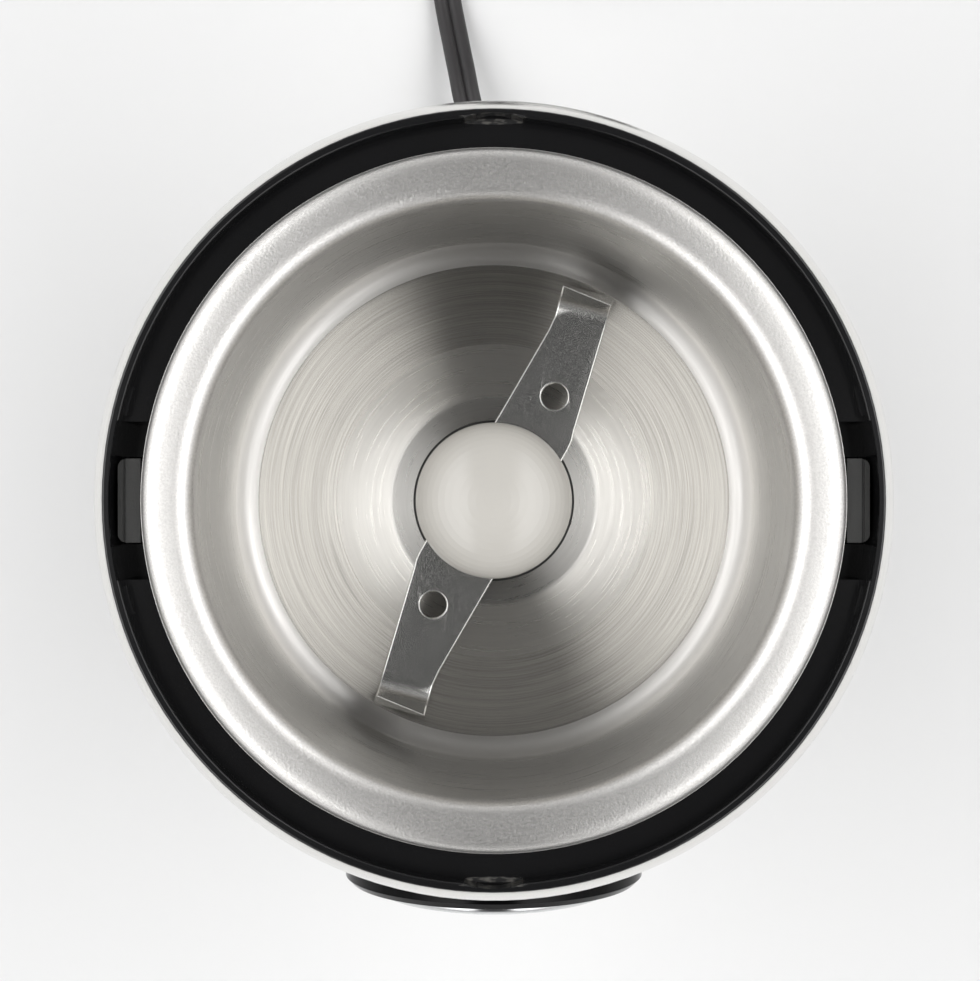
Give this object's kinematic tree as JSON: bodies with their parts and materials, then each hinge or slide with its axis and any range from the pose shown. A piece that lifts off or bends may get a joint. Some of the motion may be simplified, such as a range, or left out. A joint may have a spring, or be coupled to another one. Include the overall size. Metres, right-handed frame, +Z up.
{
  "type": "electric spice grinder",
  "caption": "Blade-type electric spice grinder shown open: steel bowl with a winged blade, black collar for the lid, steel body, push button and cord.",
  "frame": {"origin": "on the table under the blade's axis, centre of the rubber ring's face", "axes": "+Z up along the blade's axis, -Y towards the push button, +Y towards the cord"},
  "size_m": [0.105, 0.2895, 0.1264],
  "materials": {
    "rubber_ring": "matt",
    "base_abs": "satin moulded",
    "screw_steel": "zinc plated",
    "shell_steel": "bright brushed",
    "liner_abs": "moulded",
    "collar_abs": "satin moulded",
    "bowl_steel": "spun and sanded",
    "silicone": "moulded",
    "seal_rubber": "matt",
    "lamination_steel": "stacked sheets",
    "enamelled_copper": "wound",
    "bracket_steel": "zinc plated",
    "sintered_bronze": "sintered",
    "brass_holder": "pressed",
    "carbon": "pressed carbon",
    "spring_steel": "drawn wire",
    "switch_plastic": "moulded",
    "interlock_plastic": "moulded",
    "capacitor_film": "dipped",
    "fuse_body": "plain",
    "lead_pvc": "extruded",
    "clamp_plastic": "moulded",
    "bezel_abs": "gloss moulded",
    "cord_pvc": "extruded",
    "tie_pvc": "moulded",
    "plug_pvc": "moulded",
    "pin_brass": "plated",
    "shaft_steel": "ground",
    "commutator_copper": "turned",
    "washer_fibre": "punched",
    "fan_nylon": "moulded",
    "hub_zinc": "die cast",
    "blade_steel": "stamped and tumbled",
    "cap_acetal": "moulded",
    "button_chrome": "plated",
    "carrier_abs": "moulded",
    "plunger_plastic": "moulded",
    "tab_plastic": "rough moulded"
  },
  "bodies": {
    "housing": {"foot_ring": "rubber_ring", "base_cover": "base_abs", "base_screws": "screw_steel", "body_shell": "shell_steel", "inner_housing": "liner_abs", "collar": "collar_abs", "collar_screws": "screw_steel", "bowl": "bowl_steel", "bowl_gasket": "silicone", "shaft_seal": "seal_rubber", "stator_core": "lamination_steel", "field_coils": "enamelled_copper", "upper_bracket": "bracket_steel", "lower_bracket": "bracket_steel", "upper_bearing": "sintered_bronze", "lower_bearing": "sintered_bronze", "motor_bolts": "screw_steel", "motor_mounts": "seal_rubber", "brush_holders": "brass_holder", "brushes": "carbon", "brush_springs": "spring_steel", "push_switch": "switch_plastic", "interlock_switches": "interlock_plastic", "capacitor": "capacitor_film", "thermal_fuse": "fuse_body", "internal_leads": "lead_pvc", "cord_clamp": "clamp_plastic", "clamp_screws": "screw_steel", "bezel": "bezel_abs", "strain_relief": "cord_pvc", "cord": "cord_pvc", "cord_coil": "cord_pvc", "cord_tie": "tie_pvc", "plug": "plug_pvc", "plug_pins": "pin_brass", "button_spring": "spring_steel", "interlock_spring_right": "spring_steel", "interlock_spring_left": "spring_steel"},
    "rotor": {"shaft": "shaft_steel", "armature_core": "lamination_steel", "armature_winding": "enamelled_copper", "commutator": "commutator_copper", "thrust_washers": "washer_fibre", "fan": "fan_nylon", "blade_hub": "hub_zinc", "blade": "blade_steel", "blade_cap": "cap_acetal"},
    "button": {"button_cap": "button_chrome", "button_carrier": "carrier_abs"},
    "plunger": {"switch_plunger": "plunger_plastic"},
    "interlock_right": {"interlock_tab_right": "tab_plastic"},
    "interlock_left": {"interlock_tab_left": "tab_plastic"}
  },
  "joints": [
    {"name": "blade_spin", "type": "hinge", "parent": "housing", "child": "rotor", "pos_m": [0, 0, 0.1], "axis": [0, 0, 1], "continuous": true},
    {"name": "button_press", "type": "slide", "parent": "housing", "child": "button", "axis": [0, 1, 0], "range_m": [0, 0.0035], "stiffness_N_per_m": 600, "springref_m": -0.003, "deforming": ["button_spring"]},
    {"name": "plunger_travel", "type": "slide", "parent": "housing", "child": "plunger", "axis": [0, 1, 0], "range_m": [0, 0.0035]},
    {"name": "interlock_right_press", "type": "slide", "parent": "housing", "child": "interlock_right", "axis": [0, 0, -1], "range_m": [0, 0.003], "stiffness_N_per_m": 250, "springref_m": -0.004, "deforming": ["interlock_spring_right"]},
    {"name": "interlock_left_press", "type": "slide", "parent": "housing", "child": "interlock_left", "axis": [0, 0, -1], "range_m": [0, 0.003], "stiffness_N_per_m": 250, "springref_m": -0.004, "deforming": ["interlock_spring_left"]}
  ],
  "couplings": [
    {"joint": "plunger_travel", "follows": "button_press", "ratio": 1}
  ]
}
